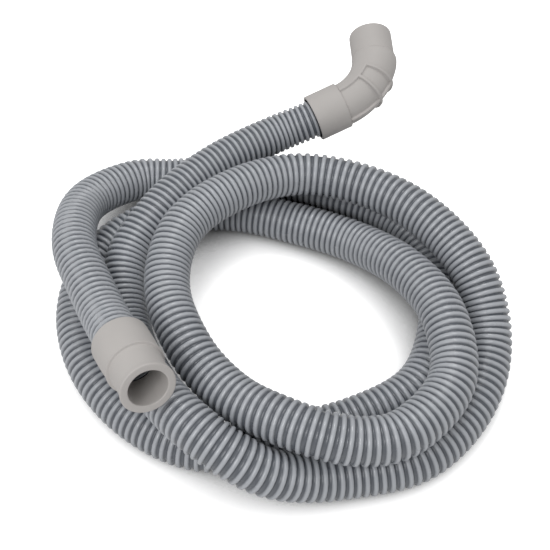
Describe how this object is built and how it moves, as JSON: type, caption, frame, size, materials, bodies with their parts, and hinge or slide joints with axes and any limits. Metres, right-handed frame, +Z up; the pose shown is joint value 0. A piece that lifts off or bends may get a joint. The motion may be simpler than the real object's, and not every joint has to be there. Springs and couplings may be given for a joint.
{
  "type": "washing machine drain hose",
  "caption": "Corrugated drain hose in a loose coil, with a straight rubber cuff at one end and a ribbed rubber elbow at the other.",
  "frame": {"origin": "middle of the footprint of the whole object, on the floor", "axes": "+Z up, +Y away from the viewer towards the elbow, +X to the right"},
  "size_m": [0.2809, 0.324, 0.0929],
  "materials": {
    "hose": "satin",
    "rubber": "matte"
  },
  "bodies": {
    "root": {"corrugated_hose": "hose", "straight_cuff": "rubber", "elbow_cuff": "rubber"}
  },
  "joints": []
}
